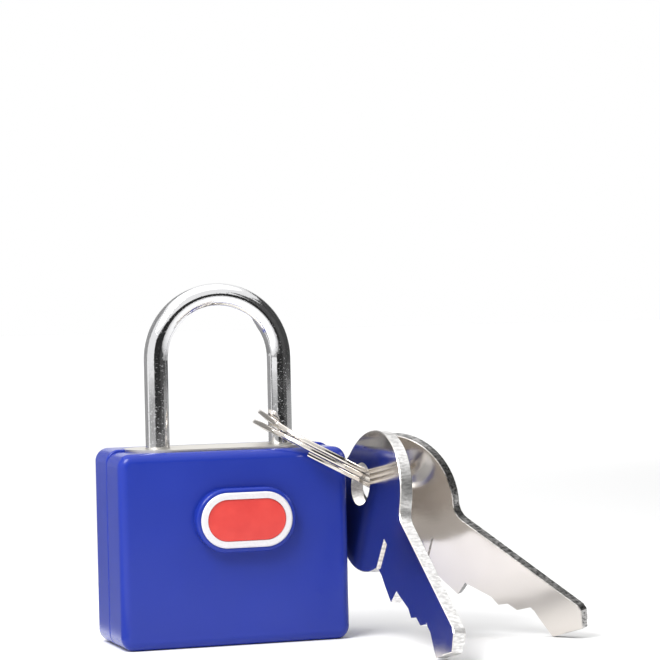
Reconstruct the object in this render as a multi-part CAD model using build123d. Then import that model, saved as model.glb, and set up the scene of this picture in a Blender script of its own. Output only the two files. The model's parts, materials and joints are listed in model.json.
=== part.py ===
from build123d import *
from math import cos, pi, radians, sin
import os

# A small cylinder padlock with two blue half shells around a die-cast case, a sprung shackle,
# a wafer cylinder opened from below, and a split ring with two keys on the right leg.
#
# Frame in millimetres: origin at the middle of the bottom face, +X to the right as seen from
# the badge side, +Y to the back, +Z up. The lock is drawn closed, with the keys hanging out.

# ---------------------------------------------------------------- driving dimensions
BODY_W, BODY_D, BODY_H = 30.0, 14.0, 25.0   # both shells together
CORNER_R = 1.7                              # shell corners, seen from the front
EDGE_R = 1.15                               # front and back edges of the shells
SEAM_R = 0.25                               # soft lip of each shell along the seam
SEAM_GAP = 0.03                             # half the gap between the two shells
FRONT_DROP = 0.3                            # the front shell stops this much lower, and shows the case

ROD_R = 1.55                                # shackle bar radius
LEG_X = 8.2                                 # legs at plus and minus this, at Y = 0
ARC_Z = 36.2                                # centre of the shackle bow
LIFT = 7.3                                  # how far the shackle rises when unlocked

CASE_W, CASE_D = 25.0, 10.8                 # inner case, a stadium seen from above
CASE_Z = 1.6                                # bottom of the case, on the shells' floor
PLATE_Y = 4.5                               # where the case ends and its back plate starts
NECK_R = 5.0                                # round neck of the case through the shells' floor
NECK_Z = 0.3

FIT = 0.06                                  # radial running clearance
SEAT_PLAY = 0.04                            # play across a piece that sits in another's seat
BORE_R = ROD_R + 0.08                       # shackle bores
TOE_Z = 18.0                                # end of the short left leg
HEEL_Z = 6.2                                # end of the long right leg

PLUG_R = 4.0
PLUG_TOP = 17.1
CAM_R, CAM_T = 4.0, 1.2
CAM_Z = PLUG_TOP
BOLT_Z = CAM_Z + CAM_T + 0.2                # underside of the latch plate
BOLT_T = 1.4
BOLT_HALF_Y = 1.5
NOSE_Z = 20.2                               # underside of the latch nose
NOSE_T = 1.6
LATCH_TRAVEL = 3.0                          # over a quarter turn of the plug
ENGAGE = 0.5                                # how deep the nose sits in the shackle notch

KEY_T = 1.7                                 # key thickness
KEY_HOLE_R = 2.75
KEY_BEVEL = 0.1                             # broken edges all round the key
KEYWAY_PLAY = 0.12
SPINE_S = 3.9                               # key outline, measured from the hole's centre
BLADE_LOW = -3.2
SHOULDER_B = 16.9
TIP_B = 33.7

RING_R = 9.04                               # split ring, centre line of the wire
RING_WIRE_W, RING_WIRE_H = 0.95, 0.62       # wire section: radial width and height of one coil

os.makedirs("parts", exist_ok=True)


# ---------------------------------------------------------------- helpers
def save(shape, name):
    """Write one sub-part to parts/NAME.step."""
    shape.label = name
    export_step(shape, f"parts/{name}.step")
    return shape


def block(x0, x1, y0, y1, z0, z1):
    """Axis-aligned box given by its faces."""
    size = (x1 - x0, y1 - y0, z1 - z0)
    middle = ((x0 + x1) / 2, (y0 + y1) / 2, (z0 + z1) / 2)
    return Pos(*middle) * Box(*size)


def post(x, y, z0, z1, radius):
    """Upright round bar."""
    return Pos(x, y, (z0 + z1) / 2) * Cylinder(radius, z1 - z0)


def bar_y(x, z, y0, y1, radius):
    """Round bar along Y."""
    return Pos(x, (y0 + y1) / 2, z) * Rot(90, 0, 0) * Cylinder(radius, y1 - y0)


def coil(radius, wire_r, height, turns):
    """Helical spring standing on Z = 0, with its wire's centre line `height` tall."""
    path = Helix(pitch=height / turns, height=height, radius=radius)
    section = Plane(origin=path @ 0, z_dir=path % 0) * Circle(wire_r)
    return sweep(section, path=path, is_frenet=True)


def stadium(width, depth, z0, z1):
    """Upright slab whose plan is a stadium."""
    return extrude(Pos(0, 0, z0) * SlotOverall(width, depth), z1 - z0)


# ---------------------------------------------------------------- shells and badge
BADGE_X, BADGE_Z = 1.0, 16.0                # badge centre on the front shell
BADGE_W, BADGE_H = 12.0, 7.0
BADGE_LIFT = 1.45                           # how far the boss stands out of the front
BOSS_MARGIN = 0.55
RIM_W = 0.85                                # width of the silver rim
RIM_T = 0.5
RIM_SINK = 0.3                              # depth of the rim's seat in the boss
RIM_CHAMFER = 0.15
INLAY_T = 0.38                              # the red field sits a little below the rim's face
INLAY_EDGE_R = 0.12
BOSS_ROOT = 1.0                             # how far the boss is let into the shell
BOSS_EDGE_R = 0.4
PEG_R, PEG_L = 0.7, 1.6                     # moulded pegs that line the shells up
PEG_PLACES = ((-13.6, 4.0), (-13.6, 21.0), (13.6, 4.0), (13.6, 21.0))


def half_shell(side):
    """One blue shell; side is -1 for the front one and +1 for the back one."""
    height = BODY_H - (FRONT_DROP if side < 0 else 0)
    outline = Pos(0, 0, height / 2) * (Plane.XZ * RectangleRounded(BODY_W, height, CORNER_R))
    depth = BODY_D / 2 - SEAM_GAP
    shell = Pos(0, side * SEAM_GAP, 0) * extrude(outline, amount=depth, dir=(0, side, 0))
    outer, inner = (0, -1) if side < 0 else (-1, 0)
    shell = fillet(shell.faces().sort_by(Axis.Y)[outer].edges(), EDGE_R)
    shell = fillet(shell.faces().sort_by(Axis.Y)[inner].edges(), SEAM_R)
    shell -= stadium(CASE_W + SEAT_PLAY, CASE_D + SEAT_PLAY, CASE_Z, BODY_H + 1)
    shell -= post(0, 0, -1, CASE_Z + 1, NECK_R + 0.1)
    return shell


def badge_plate(width, height, thickness, y_back):
    """Stadium plate facing the front, its back at y_back."""
    outline = Pos(BADGE_X, y_back, BADGE_Z) * (Plane.XZ * SlotOverall(width, height))
    return extrude(outline, amount=thickness, dir=(0, -1, 0))


front_y = -BODY_D / 2
boss_y = front_y - BADGE_LIFT
rim_back = boss_y + RIM_SINK
boss_size = (BADGE_W + 2 * BOSS_MARGIN, BADGE_H + 2 * BOSS_MARGIN)
boss = badge_plate(*boss_size, BADGE_LIFT + BOSS_ROOT, front_y + BOSS_ROOT)
boss = fillet(boss.faces().sort_by(Axis.Y)[0].edges(), BOSS_EDGE_R)
front_cover = half_shell(-1) + boss
front_cover -= badge_plate(BADGE_W, BADGE_H, RIM_SINK + 1, rim_back)

field_w, field_h = BADGE_W - 2 * RIM_W, BADGE_H - 2 * RIM_W
badge_rim = badge_plate(BADGE_W - SEAT_PLAY, BADGE_H - SEAT_PLAY, RIM_T, rim_back)
badge_rim = chamfer(badge_rim.faces().sort_by(Axis.Y)[0].edges(), RIM_CHAMFER)
badge_rim -= badge_plate(field_w, field_h, RIM_T + 1, rim_back)

badge_inlay = badge_plate(field_w - SEAT_PLAY, field_h - SEAT_PLAY, INLAY_T, rim_back)
badge_inlay = fillet(badge_inlay.faces().sort_by(Axis.Y)[0].edges(), INLAY_EDGE_R)

rear_cover = half_shell(1)
for x, z in PEG_PLACES:
    front_cover -= bar_y(x, z, -PEG_L - 0.2, 0.5, PEG_R + 0.1)
    rear_cover += bar_y(x, z, -PEG_L, 1.0, PEG_R)

save(front_cover, "front_cover")
save(rear_cover, "rear_cover")
save(badge_rim, "badge_rim")
save(badge_inlay, "badge_inlay")

# ---------------------------------------------------------------- inner case
POCKET_X = 6.9                              # latch pocket, half width
RIVET_R = 0.7
RIVET_PLACES = ((-5.9, 4.0), (5.9, 4.0), (-5.9, 23.4), (5.9, 23.4))
PIN_R = 0.6                                 # cross pin beside the long leg
PIN_X = LEG_X + 1.05 + PIN_R + 0.05
PIN_Z = 16.4
PIN_Y = (-2.6, 4.0)
SPRING_FLOOR = 2.4                          # bottom of the bore that holds the shackle's spring
ABOVE = BODY_H + 5                          # clear of the top, for cuts that go right through

behind_plate = block(-CASE_W, CASE_W, PLATE_Y, CASE_D, -1, ABOVE)
lock_case = stadium(CASE_W, CASE_D, CASE_Z, BODY_H) - behind_plate
lock_case += post(0, 0, NECK_Z, CASE_Z, NECK_R)
lock_case -= post(0, 0, 0, PLUG_TOP + CAM_T + 0.15, PLUG_R + FIT)
lock_case -= post(-LEG_X, 0, TOE_Z - 0.3, ABOVE, BORE_R)
lock_case -= post(LEG_X, 0, SPRING_FLOOR, ABOVE, BORE_R)
pocket_z = (BOLT_Z - 0.1, NOSE_Z + NOSE_T + 0.2)
lock_case -= block(-POCKET_X - 0.6, POCKET_X, -BOLT_HALF_Y - 0.1, PLATE_Y, *pocket_z)
lock_case -= bar_y(PIN_X, PIN_Z, *PIN_Y, PIN_R)

case_plate = stadium(CASE_W, CASE_D, CASE_Z, BODY_H) & behind_plate
rivets = []
for x, z in RIVET_PLACES:
    shank = bar_y(x, z, PLATE_Y - 2.2, CASE_D / 2, RIVET_R)
    lock_case -= shank
    case_plate -= shank
    rivets.append(shank)

save(case_plate, "case_plate")
save(Compound(children=rivets), "case_rivets")
save(bar_y(PIN_X, PIN_Z, *PIN_Y, PIN_R), "shackle_pin")

# ---------------------------------------------------------------- shackle and its spring
NOTCH_DEPTH = 0.8                           # toe notch, on the inner side of the left leg
NOTCH_Z0, NOTCH_Z1 = NOSE_Z - 1.5, NOSE_Z + NOSE_T + 0.4
SLIM_R = 1.05                               # slim length of the long leg, for the cross pin
SLIM_Z0, SLIM_Z1 = PIN_Z - PIN_R - LIFT - 0.2, PIN_Z + PIN_R + 0.2
HEEL_CHAMFER, TOE_EDGE_R = 0.3, 0.4
SPRING_R, SPRING_WIRE_R, SPRING_TURNS = 1.15, 0.22, 6    # under the long leg

bow_path = Line((-LEG_X, 0, TOE_Z), (-LEG_X, 0, ARC_Z))
bow_path += ThreePointArc((-LEG_X, 0, ARC_Z), (0, 0, ARC_Z + LEG_X), (LEG_X, 0, ARC_Z))
bow_path += Line((LEG_X, 0, ARC_Z), (LEG_X, 0, HEEL_Z))
shackle = sweep(Pos(-LEG_X, 0, TOE_Z) * Circle(ROD_R), path=bow_path)
shackle = chamfer(shackle.faces().sort_by(Axis.Z)[0].edges(), HEEL_CHAMFER)
toe_end = shackle.faces().filter_by(Plane.XY).sort_by(Axis.X)[0]
shackle = fillet(toe_end.edges(), TOE_EDGE_R)
notch_x = -LEG_X + ROD_R - NOTCH_DEPTH
shackle -= block(notch_x, 0, -3, 3, NOTCH_Z0, NOTCH_Z1)
shackle -= post(LEG_X, 0, SLIM_Z0, SLIM_Z1, ROD_R + 1) - post(LEG_X, 0, SLIM_Z0, SLIM_Z1, SLIM_R)
save(shackle, "shackle")

spring_h = HEEL_Z - SPRING_FLOOR - 2 * SPRING_WIRE_R - 0.1
shackle_spring = coil(SPRING_R, SPRING_WIRE_R, spring_h, SPRING_TURNS)
save(Pos(LEG_X, 0, SPRING_FLOOR + SPRING_WIRE_R + 0.02) * shackle_spring, "shackle_spring")

# ---------------------------------------------------------------- cylinder: plug, wafers, cam
KEYWAY_W = KEY_T + 2 * KEYWAY_PLAY
KEYWAY_L = SPINE_S - BLADE_LOW + 2 * KEYWAY_PLAY
WAFER_T, WAFER_W = 0.7, 3.0
WAFER_ZS = (3.0, 5.7, 8.4, 11.1, 13.8)
CAM_PIN_R = 0.4                             # latch follower pin
CAM_IN = 0.1                                # follower radius when open
CAM_OUT = CAM_IN + LATCH_TRAVEL             # and when locked
DRIVE_PINS = ((2.9, 0), (0, -2.9))          # two pins that fix the cam on the plug
DRIVE_PIN_R = 0.5

plug = post(0, 0, NECK_Z - 0.1, PLUG_TOP, PLUG_R)
plug -= block(-KEYWAY_W / 2, KEYWAY_W / 2, -KEYWAY_L / 2, KEYWAY_L / 2, -1, PLUG_TOP - 0.2)
wafers = []
springs = []
EAR_X1 = 2.8                                # ear of each wafer, with its spring under it
EAR_Y0, EAR_Y1 = 0.7, 1.5
SPRING_Y0 = -1.9
WAFER_LOW = -3.6                            # lower end of each wafer, flush with the plug
WAFER_HIGH = 3.55
WAFER_TRAVEL = 0.5                          # a wafer rises this much when the key is out
KEY_CUTS = (-2.1, -2.5, -2.9, -2.2, -2.4)   # where each wafer's bar meets the key's cuts
WAFER_SPRING_R, WAFER_WIRE_R, WAFER_SPRING_TURNS = 0.24, 0.06, 5

for number, (z, cut) in enumerate(zip(WAFER_ZS, KEY_CUTS), start=1):
    slot_z0, slot_z1 = z - 0.04, z + WAFER_T + 0.04
    plug -= block(-WAFER_W / 2 - 0.05, WAFER_W / 2 + 0.05, -5, 5, slot_z0, slot_z1)
    plug -= block(0, EAR_X1 + 0.05, SPRING_Y0, EAR_Y1 + WAFER_TRAVEL + 0.1, slot_z0, slot_z1)
    wafer = block(-WAFER_W / 2, WAFER_W / 2, WAFER_LOW, WAFER_HIGH, z, z + WAFER_T)
    wafer += block(0, EAR_X1, EAR_Y0, EAR_Y1, z, z + WAFER_T)
    wafer -= block(-KEYWAY_W / 2, KEYWAY_W / 2, cut, 5, z - 1, z + 2)
    save(wafer, f"wafer_{number}")
    spring_l = EAR_Y0 - SPRING_Y0 - 2 * WAFER_WIRE_R - 0.14
    spring = Rot(-90, 0, 0) * coil(WAFER_SPRING_R, WAFER_WIRE_R, spring_l, WAFER_SPRING_TURNS)
    spring_x = (WAFER_W / 2 + EAR_X1) / 2 + 0.02
    springs.append(Pos(spring_x, SPRING_Y0 + WAFER_WIRE_R + 0.03, z + WAFER_T / 2) * spring)

channel_x = WAFER_W / 2 + 0.1
channel_z = (WAFER_ZS[0] - 0.3, WAFER_ZS[-1] + WAFER_T + 0.3)
lock_case -= block(-channel_x, channel_x, 0, WAFER_HIGH + WAFER_TRAVEL + 0.25, *channel_z)
save(lock_case, "lock_case")


def spiral_point(turn, offset=0.0):
    """Point of the cam slot's centre line after `turn` degrees, moved outwards by offset."""
    reach = CAM_OUT - (CAM_OUT - CAM_IN) * turn / 90 + offset
    angle = radians(180 - turn)
    return reach * cos(angle), reach * sin(angle)


slot_r = CAM_PIN_R + 0.1
SLOT_STEPS = 30                             # the slot is cut in this many steps of the quarter turn
cam_plan = Circle(CAM_R)
for step in range(SLOT_STEPS + 1):
    cam_plan -= Pos(*spiral_point(90 * step / SLOT_STEPS)) * Circle(slot_r)
cam = extrude(Pos(0, 0, CAM_Z) * cam_plan, CAM_T)
cam_pins = []
for x, y in DRIVE_PINS:
    pin = post(x, y, PLUG_TOP - 2.0, CAM_Z + CAM_T, DRIVE_PIN_R)
    cam -= pin
    plug -= pin
    cam_pins.append(pin)
save(Compound(children=cam_pins), "cam_pins")
save(cam, "cam")
save(plug, "plug")
save(Compound(children=springs), "wafer_springs")


# ---------------------------------------------------------------- latch
nose_x = -LEG_X + ROD_R - ENGAGE
PLATE_X0, PLATE_X1 = -5.3, 2.0
STEM_W = 1.4                                # upright that carries the nose
LATCH_SPRING_R, LATCH_WIRE_R, LATCH_SPRING_TURNS = 0.45, 0.12, 8

latch_bolt = block(PLATE_X0, PLATE_X1, -BOLT_HALF_Y, BOLT_HALF_Y, BOLT_Z, BOLT_Z + BOLT_T)
latch_bolt += block(PLATE_X0, PLATE_X0 + STEM_W, -BOLT_HALF_Y, BOLT_HALF_Y, BOLT_Z, NOSE_Z + NOSE_T)
latch_bolt += block(nose_x, PLATE_X0 + STEM_W, -BOLT_HALF_Y, BOLT_HALF_Y, NOSE_Z, NOSE_Z + NOSE_T)
latch_bolt += post(-CAM_OUT, 0, CAM_Z + 0.1, BOLT_Z + 0.2, CAM_PIN_R)
save(latch_bolt, "latch_bolt")

latch_spring_l = POCKET_X - PLATE_X1 - 0.5
latch_spring = Rot(0, 90, 0) * coil(LATCH_SPRING_R, LATCH_WIRE_R, latch_spring_l, LATCH_SPRING_TURNS)
latch_spring = Pos(PLATE_X1 + 0.2, 0, BOLT_Z + BOLT_T / 2) * latch_spring
save(latch_spring, "latch_spring")

# ---------------------------------------------------------------- split ring
RING_CENTRE = (13.15, -0.54, 23.56)
RING_NORMAL = (0.476, -0.098, 0.874)        # the ring leans down to the right
RING_START = (-0.45, -0.88, 0)              # the lower cut end is at the front, left of the middle
RING_TURNS = 2.2
RING_PITCH = RING_WIRE_H + 0.05
SPLAY = 0.75                                # extra gap between the two coils behind the leg
SPLAY_AT, SPLAY_WIDTH = 635, 85             # its middle and half width, in degrees along the wire
RING_STEP = 20                              # degrees between the points of the wire's centre line
WIRE_EDGE_R = 0.2


def ring_point(turned):
    """Centre line of the wire in the ring's own plane, `turned` degrees after its lower end."""
    near = max(0.0, 1 - abs(turned - SPLAY_AT) / SPLAY_WIDTH)
    rise = RING_PITCH * (turned / 360 - RING_TURNS / 2) + SPLAY * sin(pi / 2 * near) ** 2
    return RING_R * cos(radians(turned)), RING_R * sin(radians(turned)), rise


ring_end = 360 * RING_TURNS
stops = int(ring_end / RING_STEP)
ring_path = Spline(*[ring_point(ring_end * i / stops) for i in range(stops + 1)])
wire_plane = Plane(origin=ring_path @ 0, x_dir=(1, 0, 0), z_dir=ring_path % 0)
ring_wire = sweep(wire_plane * RectangleRounded(RING_WIRE_W, RING_WIRE_H, WIRE_EDGE_R), path=ring_path)
ring_normal = Vector(*RING_NORMAL).normalized()
ring_x = Vector(*RING_START) - ring_normal * ring_normal.dot(Vector(*RING_START))
split_ring = Plane(origin=RING_CENTRE, x_dir=ring_x, z_dir=ring_normal) * ring_wire
save(split_ring, "split_ring")

# ---------------------------------------------------------------- keys
HEAD_B, HEAD_RB, HEAD_RS = 3.4, 8.8, 9.15   # head: centre along the key and half sizes
COLLAR_S = -5.2                             # shoulder that stops the key at the plug
COLLAR_B = SHOULDER_B - 2.6
NECK_B, NECK_S = 12.6, -4.6
BITTING = ((17.4, -3.2), (21.0, -2.6), (22.4, -2.9), (23.4, -1.95), (24.9, -1.9), (26.4, -0.3), (27.9, -0.9))
TIP = ((30.7, -1.9), (TIP_B, 1.7), (32.4, 3.6), (31.7, SPINE_S))
STEP_S, STEP_B, STEP_DEPTH = -0.55, 10.2, 0.3    # milled lower half of the blade
SLOT_DEPTH = 0.75                           # deeper slot that runs out behind the shoulder
BACK_GROOVE_S, BACK_GROOVE_W = 1.9, 1.1     # straight groove on the other face


def key_shape():
    """Key in its own plane: X towards the tip, Y towards the back edge, front face at Z = 0."""
    blade = [(HEAD_B, SPINE_S), (HEAD_B, NECK_S), (NECK_B, NECK_S), (COLLAR_B, -4.9)]
    blade += [(SHOULDER_B, COLLAR_S), (SHOULDER_B + 0.15, BLADE_LOW)]
    blade += list(BITTING) + list(TIP)
    outline = Pos(HEAD_B, 0) * Ellipse(HEAD_RB, HEAD_RS) + Polygon(*blade, align=None)
    neck_top = outline.vertices().sort_by_distance((11.4, SPINE_S, 0))[0]
    outline = fillet(neck_top, 2.5)
    neck_low = outline.vertices().sort_by_distance((11.0, NECK_S, 0))[0]
    outline = fillet(neck_low, 0.8)
    key = extrude(outline, -KEY_T)
    front, back = key.faces().sort_by(Axis.Z)[-1], key.faces().sort_by(Axis.Z)[0]
    key = chamfer(front.edges() + back.edges(), KEY_BEVEL)
    step_end = TIP_B + 2
    step = Polygon((STEP_B, STEP_S), (STEP_B + 1.6, -7), (step_end, -7), (step_end, STEP_S + 0.3), align=None)
    key -= extrude(step, -STEP_DEPTH)
    slot = Polygon((11.6, -3.65), (SHOULDER_B + 0.4, -3.0), (SHOULDER_B + 0.4, -3.85), align=None)
    key -= extrude(slot, -SLOT_DEPTH)
    groove_low, groove_high = BACK_GROOVE_S - BACK_GROOVE_W / 2, BACK_GROOVE_S + BACK_GROOVE_W / 2
    key -= block(STEP_B + 3, step_end, groove_low, groove_high, -KEY_T - 1, -KEY_T + STEP_DEPTH)
    key -= Pos(0, 0, -KEY_T / 2) * Cylinder(KEY_HOLE_R, KEY_T + 1)
    return key


def placed_key(hole, along, normal):
    """A key with its hole's centre at `hole`, pointing along `along`."""
    return Plane(origin=hole, x_dir=along, z_dir=normal) * key_shape()


key_1 = placed_key((16.65, -7.04, 19.76), (0.033, -0.809, -0.586), (-0.987, -0.117, 0.107))
key_2 = placed_key((20.58, -0.79, 18.64), (0.591, -0.586, -0.556), (-0.76, -0.637, -0.131))
save(key_1, "key_1")
save(key_2, "key_2")
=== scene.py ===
"""Looks of a small padlock with a split ring and two keys, in a plain white studio."""
import json
import math

import bpy
from mathutils import Matrix, Vector

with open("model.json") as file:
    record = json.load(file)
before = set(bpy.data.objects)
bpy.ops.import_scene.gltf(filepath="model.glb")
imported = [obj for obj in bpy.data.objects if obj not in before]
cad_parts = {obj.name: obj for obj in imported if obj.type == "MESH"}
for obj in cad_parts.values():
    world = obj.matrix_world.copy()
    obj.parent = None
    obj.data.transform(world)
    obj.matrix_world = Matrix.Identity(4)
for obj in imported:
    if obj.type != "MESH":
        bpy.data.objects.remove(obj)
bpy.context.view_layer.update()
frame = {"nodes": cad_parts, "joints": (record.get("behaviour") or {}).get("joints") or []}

MM = 0.001      # lengths are in metres

# ---------------------------------------------------------------- camera
CAMERA_AT = Vector((-0.0930, -0.3300, 0.0429))
CAMERA_YAW, CAMERA_PITCH, CAMERA_ROLL = 18.17, -0.555, -1.28    # degrees, yaw to the right of +Y
LENS_MM, SENSOR_MM = 145.2, 36.0
NEAREST_SEEN = 10 * MM


def add_camera():
    """Long lens in front of the lock, a little to its left, almost level."""
    data = bpy.data.cameras.new("camera")
    data.lens = LENS_MM
    data.sensor_width = SENSOR_MM
    data.clip_start = NEAREST_SEEN
    camera = bpy.data.objects.new("camera", data)
    yaw = Matrix.Rotation(math.radians(-CAMERA_YAW), 4, "Z")
    pitch = Matrix.Rotation(math.radians(90 + CAMERA_PITCH), 4, "X")
    roll = Matrix.Rotation(math.radians(CAMERA_ROLL), 4, "Z")
    camera.matrix_world = Matrix.Translation(CAMERA_AT) @ yaw @ pitch @ roll
    bpy.context.scene.collection.objects.link(camera)
    bpy.context.scene.camera = camera


# ---------------------------------------------------------------- studio
FLOOR_HALF, FLOOR_SHADE = 4.0, 0.92
MATT_ROUGHNESS, MATT_SPECULAR = 0.9, 0.1            # of the floor and the screens
OVERHEAD_POWER, OVERHEAD_SPREAD = 0.7, 70           # the spread in degrees
KEY_AZIMUTH, KEY_REACH, KEY_HEIGHT = -48, 0.11, 0.135
KEY_WIDTH, KEY_POWER = 0.08, 0.26
KEY_TARGET = Vector((0, 0, 0.025))                  # the top of the body
SCREEN_RADIUS, SCREEN_STEP = 0.42, 5                # metres, and degrees for each flat strip
LEFT_MAT_X, LEFT_MAT_Y = (-0.30, -0.017), (-0.02, 0.40)
MAT_HEIGHT = 1 * MM


def mesh_object(name, points, faces):
    """New mesh in the scene."""
    mesh = bpy.data.meshes.new(name)
    mesh.from_pydata(points, [], faces)
    obj = bpy.data.objects.new(name, mesh)
    bpy.context.scene.collection.objects.link(obj)
    return obj


def level_sheet(name, x, y, z=0.0):
    """Level rectangle between two X and two Y values, facing +Z."""
    corners = [(x[0], y[0], z), (x[1], y[0], z), (x[1], y[1], z), (x[0], y[1], z)]
    return mesh_object(name, corners, [(0, 1, 2, 3)])


def add_light(name, kind, place, target):
    """Light that shines from place towards target."""
    data = bpy.data.lights.new(name, kind)
    light = bpy.data.objects.new(name, data)
    light.location = place
    light.rotation_euler = (target - place).to_track_quat("-Z", "Y").to_euler()
    bpy.context.scene.collection.objects.link(light)
    return data


def direction(azimuth):
    """Level direction from the lock; azimuth 0 is the front and 90 the right, in degrees."""
    turn = math.radians(azimuth)
    return Vector((math.sin(turn), -math.cos(turn), 0))


def matt_grey(name, shade):
    """Even matt paint for the studio."""
    made = bpy.data.materials.new(name)
    made.use_nodes = True
    shader = made.node_tree.nodes["Principled BSDF"]
    shader.inputs["Base Color"].default_value = (shade, shade, shade, 1)
    shader.inputs["Roughness"].default_value = MATT_ROUGHNESS
    shader.inputs["Specular IOR Level"].default_value = MATT_SPECULAR
    return made


def hide_from_camera(screen, shade, lights, gloss):
    """Paint a screen and keep it out of the picture.

    With lights it shades matt surfaces and casts a shadow, and with gloss it shows in reflections.
    """
    screen.data.materials.append(matt_grey(screen.name, shade))
    screen.visible_camera = False
    screen.visible_glossy = gloss
    screen.visible_diffuse = lights
    screen.visible_shadow = lights


def studio_screen(name, azimuths, heights, shade, lights=True, gloss=True):
    """Curved upright screen around the lock, between two azimuths and two heights."""
    start, end = azimuths
    steps = round((end - start) / SCREEN_STEP)
    around = [direction(start + (end - start) * k / steps) * SCREEN_RADIUS for k in range(steps + 1)]
    points = [point + Vector((0, 0, height)) for height in heights for point in around]
    above = steps + 1
    faces = [(k, k + 1, above + k + 1, above + k) for k in range(steps)]
    hide_from_camera(mesh_object(name, points, faces), shade, lights, gloss)


def add_surround():
    """White light from everywhere, and a pale floor."""
    world = bpy.data.worlds.new("studio")
    world.use_nodes = True
    background = world.node_tree.nodes["Background"]
    background.inputs["Color"].default_value = (1, 1, 1, 1)
    background.inputs["Strength"].default_value = 1.0
    bpy.context.scene.world = world
    floor = level_sheet("floor", (-FLOOR_HALF, FLOOR_HALF), (-FLOOR_HALF, FLOOR_HALF))
    floor.data.materials.append(matt_grey("floor", FLOOR_SHADE))


def add_lights():
    """Wide soft light from above, and a soft box close to the lock at its upper left."""
    overhead = add_light("overhead", "SUN", Vector((0, 0, 1)), Vector((0, 0, 0)))
    overhead.energy = OVERHEAD_POWER
    overhead.angle = math.radians(OVERHEAD_SPREAD)
    key_place = direction(KEY_AZIMUTH) * KEY_REACH + Vector((0, 0, KEY_HEIGHT))
    key_light = add_light("key_light", "AREA", key_place, KEY_TARGET)
    key_light.shape = "SQUARE"
    key_light.size = KEY_WIDTH
    key_light.energy = KEY_POWER


def add_screens():
    """Dark screens in front and at the right, and grey ones low down, at the left and at the back."""
    studio_screen("front_screen", (-33, 25), (0, 0.30), 0.06, gloss=False)
    studio_screen("front_band", (-33, 25), (0, 0.15), 0.06, lights=False)
    studio_screen("front_right_screen", (25, 58), (0, 0.30), 0.10)
    studio_screen("right_low_screen", (58, 135), (0, 0.020), 0.5)
    studio_screen("right_screen", (58, 135), (0.020, 0.40), 0.07)
    studio_screen("left_low_screen", (-92, -33), (0, 0.022), 0.5)
    studio_screen("left_screen", (-180, -106), (0, 0.50), 0.4, lights=False)
    studio_screen("back_screen", (135, 152), (0, 0.30), 0.5, lights=False)
    left_mat = level_sheet("left_mat", LEFT_MAT_X, LEFT_MAT_Y, MAT_HEIGHT)
    hide_from_camera(left_mat, 0.22, lights=False, gloss=True)


# ---------------------------------------------------------------- material helpers
MOST_NOISE = (0.3, 0.7)         # most values of a noise lie between these
HAZE_NOISE = (0.35, 0.7)


class Nodes:
    """Short calls for building one material's node tree."""

    def __init__(self, name):
        self.material = bpy.data.materials.new(name)
        self.material.use_nodes = True
        self.tree = self.material.node_tree
        self.shader = self.tree.nodes["Principled BSDF"]
        self.coords = self.tree.nodes.new("ShaderNodeTexCoord")

    def set(self, **values):
        """Values on the shader's own sockets, with _ for the spaces in their names."""
        for key, value in values.items():
            self.shader.inputs[key.replace("_", " ")].default_value = value

    def link(self, out, into):
        self.tree.links.new(out, into)

    def scaled(self, per_metre):
        """Object coordinates times per_metre, a number or one per axis."""
        mapping = self.tree.nodes.new("ShaderNodeMapping")
        factors = per_metre if isinstance(per_metre, tuple) else (per_metre, per_metre, per_metre)
        mapping.inputs["Scale"].default_value = factors
        self.link(self.coords.outputs["Object"], mapping.inputs["Vector"])
        return mapping.outputs["Vector"]

    def noise(self, per_metre, detail=3):
        """Noise between 0 and 1, with per_metre features in a metre."""
        node = self.tree.nodes.new("ShaderNodeTexNoise")
        node.inputs["Detail"].default_value = detail
        node.inputs["Scale"].default_value = 1.0
        self.link(self.scaled(per_metre), node.inputs["Vector"])
        return node.outputs["Fac"]

    def math(self, operation, *values):
        """One or two sockets or numbers through a Math node."""
        node = self.tree.nodes.new("ShaderNodeMath")
        node.operation = operation
        for socket, value in zip(node.inputs, values):
            if isinstance(value, (int, float)):
                socket.default_value = value
            else:
                self.link(value, socket)
        return node.outputs[0]

    def spread(self, value, given, wanted):
        """Map the range given to the range wanted, held at the ends."""
        node = self.tree.nodes.new("ShaderNodeMapRange")
        self.link(value, node.inputs["Value"])
        for name, number in zip(("From Min", "From Max", "To Min", "To Max"), (*given, *wanted)):
            node.inputs[name].default_value = number
        return node.outputs["Result"]

    def mix(self, factor, low, high):
        """Colour between low and high."""
        node = self.tree.nodes.new("ShaderNodeMix")
        node.data_type = "RGBA"
        self.link(factor, node.inputs["Factor"])
        for name, colour in (("A", low), ("B", high)):
            socket = [s for s in node.inputs if s.name == name and s.type == "RGBA"][0]
            if isinstance(colour, tuple):
                socket.default_value = (*colour, 1)
            else:
                self.link(colour, socket)
        return [s for s in node.outputs if s.type == "RGBA"][0]

    def bump(self, height, strength, distance):
        """Surface relief."""
        node = self.tree.nodes.new("ShaderNodeBump")
        node.inputs["Strength"].default_value = strength
        node.inputs["Distance"].default_value = distance
        self.link(height, node.inputs["Height"])
        self.link(node.outputs["Normal"], self.shader.inputs["Normal"])

    def colour(self, socket):
        self.link(socket, self.shader.inputs["Base Color"])

    def rough(self, socket):
        self.link(socket, self.shader.inputs["Roughness"])


def dress(material, *names):
    """Give the CAD nodes a material."""
    for name in names:
        mesh = frame["nodes"][name].data
        mesh.materials.clear()
        mesh.materials.append(material)


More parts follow.
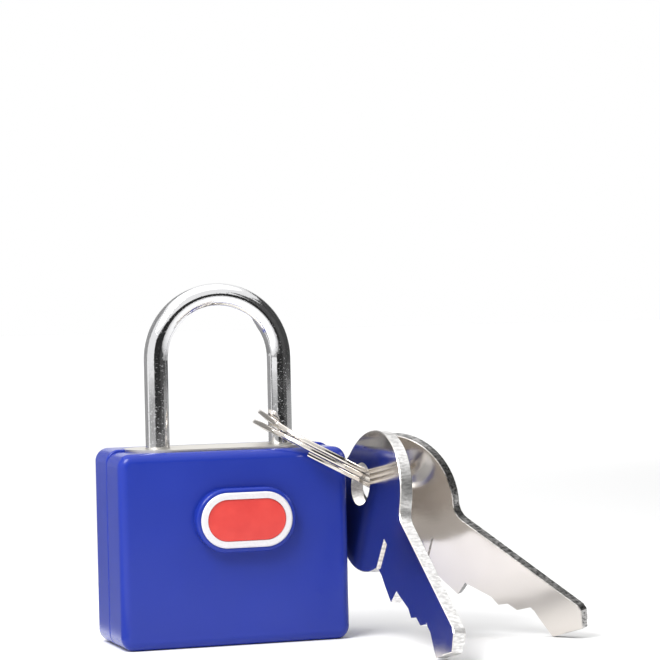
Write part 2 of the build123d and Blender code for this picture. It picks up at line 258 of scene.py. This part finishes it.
# ---------------------------------------------------------------- materials
def blue_plastic():
    """Moulded satin plastic: slight mottling, fine grain, soft light inside."""
    n = Nodes("blue_plastic")
    n.colour(n.mix(n.noise(90, detail=2), (0.012, 0.029, 0.27), (0.017, 0.038, 0.33)))
    n.rough(n.spread(n.noise(350), MOST_NOISE, (0.17, 0.24)))
    n.bump(n.noise(2600, detail=2), 0.12, 0.04 * MM)
    n.set(Subsurface_Weight=0.12, Subsurface_Radius=(0.6 * MM, 0.8 * MM, 2.2 * MM), Subsurface_Scale=1.0)
    n.set(IOR=1.49, Specular_IOR_Level=0.3)
    return n.material


def polished_metal(name, dark, light, roughness, scratch=0.05, pitting=0.0):
    """Plated metal: mirror-like, with faint clouding, hairline scratches and perhaps pits."""
    n = Nodes(name)
    n.set(Metallic=1.0)
    n.colour(n.mix(n.noise(140), dark, light))
    n.rough(n.spread(n.noise(420, detail=4), HAZE_NOISE, roughness))
    relief = n.noise((900, 5200, 900), detail=2)
    if pitting:
        pits = n.spread(n.noise(3800, detail=2), (0.62, 0.72), (0.0, 1.0))
        relief = n.math("ADD", relief, n.math("MULTIPLY", pits, pitting))
    n.bump(relief, scratch, 0.02 * MM)
    return n.material


def satin_metal(name, dark, light):
    """Brushed metal with its grain along X."""
    n = Nodes(name)
    n.set(Metallic=1.0)
    grain = n.noise((160, 3200, 3200))
    n.colour(n.mix(grain, dark, light))
    n.rough(n.spread(grain, MOST_NOISE, (0.30, 0.44)))
    n.bump(grain, 0.15, 0.03 * MM)
    return n.material


def silver_paint():
    """Bright silver lacquer of the badge's rim, with fine flake."""
    n = Nodes("badge_silver")
    flake = n.noise(3000, detail=2)
    n.colour(n.mix(flake, (0.68, 0.66, 0.68), (0.82, 0.80, 0.82)))
    n.rough(n.spread(n.noise(900), MOST_NOISE, (0.28, 0.38)))
    n.bump(flake, 0.04, 0.01 * MM)
    n.set(Metallic=0.2)
    return n.material


def enamel():
    """Glossy red enamel with slight pooling."""
    n = Nodes("red_enamel")
    n.colour(n.mix(n.noise(500, detail=2), (0.56, 0.020, 0.018), (0.72, 0.050, 0.036)))
    n.rough(n.spread(n.noise(700), MOST_NOISE, (0.12, 0.2)))
    n.bump(n.noise(450, detail=1), 0.1, 0.05 * MM)
    n.set(IOR=1.5, Coat_Weight=0.5, Coat_Roughness=0.06)
    return n.material


def key_metal(name, face_normal, edge_dark, edge_light):
    """Key blank: polished faces, and rough milled edges where the surface turns away from them."""
    n = Nodes(name)
    n.set(Metallic=1.0)
    facing = n.tree.nodes.new("ShaderNodeVectorMath")
    facing.operation = "DOT_PRODUCT"
    n.link(n.coords.outputs["Normal"], facing.inputs[0])
    facing.inputs[1].default_value = face_normal
    edge = n.spread(n.math("ABSOLUTE", facing.outputs["Value"]), (0.55, 0.8), (1.0, 0.0))

    face_colour = n.mix(n.noise(110), (0.60, 0.565, 0.53), (0.72, 0.685, 0.65))
    cuts = n.noise((1500, 1500, 4200))
    # edge_dark and edge_light carry painted light from the caller: a painted highlight on key_1's edges and
    # a painted dark reflection on key_2's.
    edge_colour = n.mix(n.spread(cuts, (0.35, 0.65), (0.0, 1.0)), edge_dark, edge_light)
    n.colour(n.mix(edge, face_colour, edge_colour))

    haze = n.spread(n.noise(260, detail=4), HAZE_NOISE, (0.10, 0.19))
    n.rough(n.math("ADD", haze, n.math("MULTIPLY", edge, 0.22)))

    scratches = n.math("MULTIPLY", n.noise((700, 4200, 700), detail=2), 0.08)
    n.bump(n.math("ADD", scratches, n.math("MULTIPLY", cuts, edge)), 0.35, 0.05 * MM)
    return n.material


def hinge_axis(joint_name):
    """Axis of a joint in the record."""
    for joint in frame["joints"]:
        if joint["name"] == joint_name:
            return tuple(joint["axis"])
    raise KeyError(joint_name)


def dress_lock():
    """Materials of the body, the shackle and what is inside."""
    dress(blue_plastic(), "front_cover", "rear_cover")
    dress(silver_paint(), "badge_rim")
    dress(enamel(), "badge_inlay")
    dress(satin_metal("case_nickel", (0.66, 0.63, 0.57), (0.80, 0.77, 0.71)), "lock_case")
    chrome = polished_metal("shackle_chrome", (0.76, 0.76, 0.77), (0.84, 0.84, 0.85), roughness=(0.05, 0.11),
                            scratch=0.10, pitting=3.0)
    dress(chrome, "shackle")
    dress(satin_metal("plain_steel", (0.42, 0.42, 0.43), (0.56, 0.56, 0.57)), "case_plate", "case_rivets",
          "shackle_pin", "cam", "cam_pins", "latch_bolt")
    spring_steel = polished_metal("spring_steel", (0.42, 0.42, 0.43), (0.55, 0.55, 0.56),
                                  roughness=(0.2, 0.3))
    dress(spring_steel, "shackle_spring", "latch_spring", "wafer_springs")
    wafers = [name for name in frame["nodes"] if name.startswith("wafer_") and name != "wafer_springs"]
    dress(satin_metal("machined_brass", (0.52, 0.36, 0.14), (0.70, 0.52, 0.24)), "plug", *wafers)


def dress_keys():
    """Materials of the ring and the keys; the milled edges carry a painted highlight on key_1 and a painted
    dark reflection on key_2.
    """
    nickel = polished_metal("ring_nickel", (0.62, 0.58, 0.53), (0.76, 0.72, 0.67), roughness=(0.08, 0.18),
                            scratch=0.1)
    dress(nickel, "split_ring")
    # Painted light in the milling colours: bright for a painted highlight on key_1, dark for a painted
    # reflection of dark surroundings on key_2.
    milling_painted_highlight = (0.62, 0.61, 0.60), (0.95, 0.94, 0.93)
    milling_painted_dark_reflection = (0.10, 0.10, 0.10), (0.62, 0.61, 0.60)
    dress(key_metal("key_1_nickel", hinge_axis("key_1_swing"), *milling_painted_highlight), "key_1")
    dress(key_metal("key_2_nickel", hinge_axis("key_2_swing"), *milling_painted_dark_reflection), "key_2")


bpy.context.scene.view_settings.view_transform = "Standard"
add_camera()
add_surround()
add_lights()
add_screens()
dress_lock()
dress_keys()
